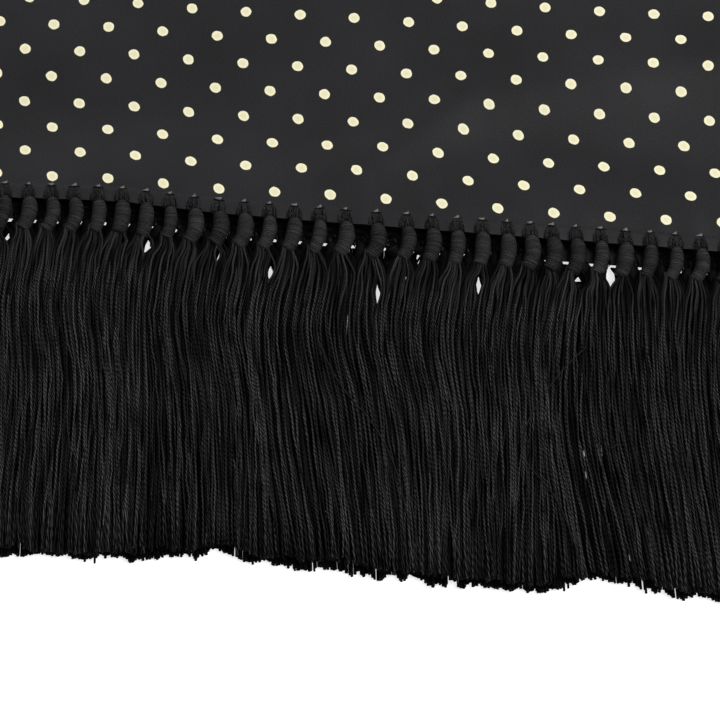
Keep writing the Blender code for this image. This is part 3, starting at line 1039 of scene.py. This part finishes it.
def stray_yarns(sizes, material):
    """Yarns that lie across the others, placed one by one."""
    paths = []
    radius = sizes.yarn_thickness * LOOP_STRAND
    for stray in STRAYS:
        count = 14
        steps = list(range(len(stray)))
        path = []
        for i in range(count + 1):
            at = i / count * (len(stray) - 1)
            x = smooth_through(steps, [point[0] for point in stray], at)
            depth = smooth_through(steps, [point[1] for point in stray], at)
            z = smooth_through(RUN_DEPTHS, UPPER_ROW.run, depth) + 0.0011
            path.append(Spot(x, row_y(UPPER_ROW, x, depth), z, radius, 0.6))
        paths.append(path)
    return tubes("stray_yarns", paths, 6, material)


class ShawlSizes(bpy.types.PropertyGroup):
    """Sizes of the shawl's cloth and yarns."""

    cloth_thickness: FloatProperty(
        name="Cloth thickness", description="Thickness of the silk", default=0.0005, unit='LENGTH')
    side_roll: FloatProperty(
        name="Side roll", description="Thickness of the rolled side hems", default=0.0015,
        unit='LENGTH')
    twill_pitch: FloatProperty(
        name="Twill pitch", description="Width of one twill line", default=0.00042, unit='LENGTH')
    dot_diameter: FloatProperty(
        name="Dot diameter", description="Width of a dot", default=0.00328, unit='LENGTH')
    dot_pitch_across: FloatProperty(
        name="Dot pitch across", description="Spacing of the dots across the cloth",
        default=0.01655, unit='LENGTH')
    dot_pitch_along: FloatProperty(
        name="Dot pitch along", description="Spacing of the dots along the cloth",
        default=0.01757, unit='LENGTH')
    yarn_thickness: FloatProperty(
        name="Yarn thickness", description="Thickness of a tassel's yarn", default=0.00060,
        unit='LENGTH')
    wrap_pitch: FloatProperty(
        name="Wrap pitch", description="Spacing of the wraps of a head", default=0.0006,
        unit='LENGTH')
    yarn_share: FloatProperty(
        name="Yarn share", description="Share of the yarns that are made", default=1.0,
        subtype='FACTOR')


class ShawlColours(bpy.types.PropertyGroup):
    """Colours of the shawl and of the surface under it."""

    silk: FloatVectorProperty(
        name="Silk", description="Colour of the cloth", default=(0.0102, 0.0102, 0.0117),
        subtype='COLOR')
    dot: FloatVectorProperty(
        name="Dot", description="Colour of the dots", default=(0.74, 0.70, 0.48),
        subtype='COLOR')
    yarn: FloatVectorProperty(
        name="Yarn", description="Colour of the tassels", default=(0.020, 0.020, 0.020),
        subtype='COLOR')
    floor: FloatVectorProperty(
        name="Floor", description="Colour of the surface", default=(0.90, 0.90, 0.90),
        subtype='COLOR')
    floor_glow: FloatProperty(
        name="Floor glow", description="Light that the surface gives by itself", default=0.8,
        subtype='FACTOR')
    # Painted shade: the near-black of the slits that stand for the shade inside each thread hole
    hole: FloatVectorProperty(
        name="Hole", description="Colour inside the thread holes", default=(0.001, 0.001, 0.001),
        subtype='COLOR')
    # Painted highlight: the lips are grey, much lighter than the black silk, for the light the
    # pulled-up silk catches
    lip: FloatVectorProperty(
        name="Lip", description="Colour of the silk pulled up at each hole",
        default=(0.11, 0.11, 0.11), subtype='COLOR')


class ShawlStudio(bpy.types.PropertyGroup):
    """The camera's place and the strength of the lights."""

    elevation: FloatProperty(
        name="Elevation", description="Camera's angle above the surface",
        default=math.radians(70), subtype='ANGLE')
    distance: FloatProperty(
        name="Distance", description="From the camera to the surface", default=0.79,
        unit='LENGTH')
    view: FloatProperty(
        name="Field of view", description="Angle that the camera takes in",
        default=math.radians(15.2), subtype='ANGLE')
    aim: FloatProperty(
        name="Aim", description="How far in front of the hem the camera aims", default=0.0402,
        unit='LENGTH')
    key: FloatProperty(
        name="Key light", description="Power of the key light", default=19.0, unit='POWER')
    rim: FloatProperty(
        name="Far light", description="Power of the far light", default=5.0, unit='POWER')
    sky: FloatProperty(
        name="Sky", description="Strength of the light all round", default=0.34,
        subtype='FACTOR')


class SHAWL_OT_yarns(bpy.types.Operator):
    """Hang the loose yarns of both rows of tassels"""

    bl_idname = "shawl.hang_yarns"
    bl_label = "Hang the yarns"

    def execute(self, context):
        sizes, colours = context.scene.shawl_sizes, context.scene.shawl_colours
        material = yarn_finish("two_ply_yarn", colours, LOOSE_LOOK)
        rng = random.Random(11)
        for side, row, levels in (("upper", UPPER_ROW, UPPER_LEVELS),
                                  ("lower", LOWER_ROW, LOWER_LEVELS)):
            for place, level in enumerate(levels):
                name = f"{side}_yarns_{place}"
                yarns = tassel_yarns(name, row, level, sizes, material, rng)
                settle(yarns, () if place else (side + "_fringe",))
        settle(stray_yarns(sizes, material))
        return {'FINISHED'}


class SHAWL_OT_heads(bpy.types.Operator):
    """Wrap the heads of the tassels and lead their loops over the hems"""

    bl_idname = "shawl.wrap_heads"
    bl_label = "Wrap the heads"

    def execute(self, context):
        sizes, colours = context.scene.shawl_sizes, context.scene.shawl_colours
        wrap = yarn_finish("wrapping_thread", colours, WRAP_LOOK)
        loop = yarn_finish("loop_yarn", colours, LOOP_LOOK)
        rng = random.Random(23)
        settle(wrapped_heads("upper_heads", UPPER_ROW, sizes, 16, 4, wrap, rng, 1.0))
        # Painted shade: the lower row's heads are a quarter as light, for the shade under the upper
        # row
        settle(wrapped_heads("lower_heads", LOWER_ROW, sizes, 10, 2, wrap, rng, 0.25))
        settle(hem_loops("upper_loops", UPPER_ROW, sizes, 24, loop, rng, 1.0))
        # Painted shade: the lower row's loops are a fifth as light, for the same shade
        settle(hem_loops("lower_loops", LOWER_ROW, sizes, 8, loop, rng, 0.2))
        return {'FINISHED'}


class SHAWL_OT_holes(bpy.types.Operator):
    """Open the thread holes along the hems, each with its pulled lip of silk"""

    bl_idname = "shawl.open_holes"
    bl_label = "Open the thread holes"

    def execute(self, context):
        sizes, colours = context.scene.shawl_sizes, context.scene.shawl_colours
        slit = dull_finish("hole_shadow", colours.hole, 0.9)
        lip = dull_finish("painted_highlight_lip", colours.lip, 0.45)
        lift = TURN_RADIUS + sizes.cloth_thickness / 2
        settle(hole_slits("upper_slits", UPPER_ROW, slit, lift))
        settle(hole_slits("lower_slits", LOWER_ROW, slit, lift))
        settle(pulled_lips("upper_lips", UPPER_ROW, lip, lift + LIP_HEIGHT * 0.4))
        return {'FINISHED'}


class SHAWL_OT_cloth(bpy.types.Operator):
    """Lay the dotted silk, folded in half, and roll its side hems"""

    bl_idname = "shawl.lay_cloth"
    bl_label = "Lay the cloth"

    def execute(self, context):
        sizes, colours = context.scene.shawl_sizes, context.scene.shawl_colours
        hems = settle(side_hems(sizes, plain_silk_finish(colours)))
        cloth = lay_cloth(sizes, silk_finish(sizes, colours))
        settle(cloth, ("upper_layer", "lower_layer"))
        trimmings = [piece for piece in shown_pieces() if piece != cloth
                     and piece.type == 'MESH' and "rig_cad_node" not in piece]
        return {'FINISHED'}


class SHAWL_OT_stage(bpy.types.Operator):
    """Set the pale surface, the soft lights and the camera"""

    bl_idname = "shawl.set_stage"
    bl_label = "Set the stage"

    def execute(self, context):
        scene, studio = context.scene, context.scene.shawl_studio
        bm = bmesh.new()
        bmesh.ops.create_grid(bm, x_segments=1, y_segments=1, size=6.0)
        floor = add_piece("floor", mesh_of("floor", bm), floor_finish(scene.shawl_colours))
        floor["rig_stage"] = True
        target = Vector((0.0, HEM_Y - studio.aim, 0.0))
        soft_light("key_light", studio.key, 0.9, target + Vector((0.65, 0.25, 1.25)), target)
        soft_light("far_light", studio.rim, 0.7, target + Vector((-0.35, 1.2, 0.85)), target)
        world = bpy.data.worlds.new("studio")
        world.use_nodes = True
        world.node_tree.nodes["Background"].inputs["Color"].default_value = (1.0, 1.0, 1.0, 1.0)
        world.node_tree.nodes["Background"].inputs["Strength"].default_value = studio.sky
        scene.world = world
        scene.view_settings.view_transform = 'Standard'
        back = Vector((0.0, -math.cos(studio.elevation), math.sin(studio.elevation)))
        camera = bpy.data.objects.new("camera", bpy.data.cameras.new("camera"))
        camera.data.angle = studio.view
        camera.data.clip_start = 0.01
        camera.location = target + back * studio.distance
        camera.rotation_euler = (-back).to_track_quat('-Z', 'Y').to_euler()
        scene.collection.objects.link(camera)
        scene.camera = camera
        return {'FINISHED'}


class SHAWL_PT_panel(bpy.types.Panel):
    """The steps that make the shawl"""

    bl_label = "Silk Shawl"
    bl_idname = "SHAWL_PT_panel"
    bl_space_type = 'VIEW_3D'
    bl_region_type = 'UI'
    bl_category = "Shawl"

    def draw(self, context):
        for step in STEPS:
            self.layout.operator(step.bl_idname)
        for group in (context.scene.shawl_sizes, context.scene.shawl_colours,
                      context.scene.shawl_studio):
            box = self.layout.box()
            for name in group.__annotations__:
                box.prop(group, name)


def soft_light(name, power, size, place, target):
    """A square soft light that faces a target."""
    light = bpy.data.lights.new(name, 'AREA')
    light.energy = power
    light.size = size
    holder = bpy.data.objects.new(name, light)
    holder.location = place
    holder.rotation_euler = (target - place).to_track_quat('-Z', 'Y').to_euler()
    bpy.context.scene.collection.objects.link(holder)


STEPS = (SHAWL_OT_yarns, SHAWL_OT_heads, SHAWL_OT_holes, SHAWL_OT_cloth, SHAWL_OT_stage)
GROUPS = {"shawl_sizes": ShawlSizes, "shawl_colours": ShawlColours, "shawl_studio": ShawlStudio}


def register():
    """Make the groups, the steps and the panel known."""
    for group in GROUPS.values():
        bpy.utils.register_class(group)
    for name, group in GROUPS.items():
        setattr(bpy.types.Scene, name, PointerProperty(type=group))
    for kind in STEPS + (SHAWL_PT_panel,):
        bpy.utils.register_class(kind)


def unregister():
    """Take them back."""
    for kind in reversed(STEPS + (SHAWL_PT_panel,)):
        bpy.utils.unregister_class(kind)
    for name in GROUPS:
        delattr(bpy.types.Scene, name)
    for group in reversed(list(GROUPS.values())):
        bpy.utils.unregister_class(group)


def main():
    """Make the shawl and its stage."""
    register()
    bpy.ops.shawl.hang_yarns()
    bpy.ops.shawl.wrap_heads()
    bpy.ops.shawl.open_holes()
    bpy.ops.shawl.lay_cloth()
    bpy.ops.shawl.set_stage()


if __name__ == "__main__":
    main()
